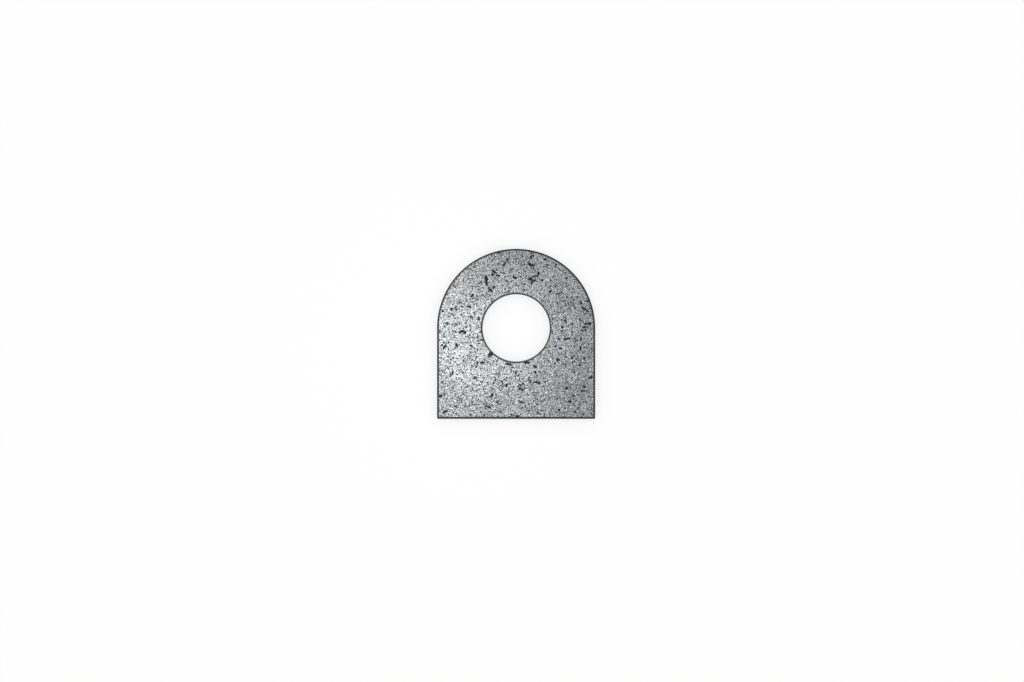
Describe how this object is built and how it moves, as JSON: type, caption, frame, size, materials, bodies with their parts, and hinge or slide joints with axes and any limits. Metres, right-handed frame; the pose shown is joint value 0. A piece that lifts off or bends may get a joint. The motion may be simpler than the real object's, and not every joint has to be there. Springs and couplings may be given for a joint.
{
  "type": "tab lock washer",
  "caption": "D-shaped lock washer blanked from steel sheet: bolt clearance bore, round crown to bend up against the bolt head, straight edge that stops it turning.",
  "frame": {"origin": "on the bore's axis, in the plane of the lower face", "axes": "+Z along the bore's axis through the sheet, towards the face that is shown; -Y towards the straight locking edge; +X across the width"},
  "size_m": [0.04, 0.043, 0.002],
  "materials": {
    "steel": "dull grey, finely pitted all over, with dark cut edges"
  },
  "bodies": {
    "root": {"lock_washer": "steel"}
  },
  "joints": []
}
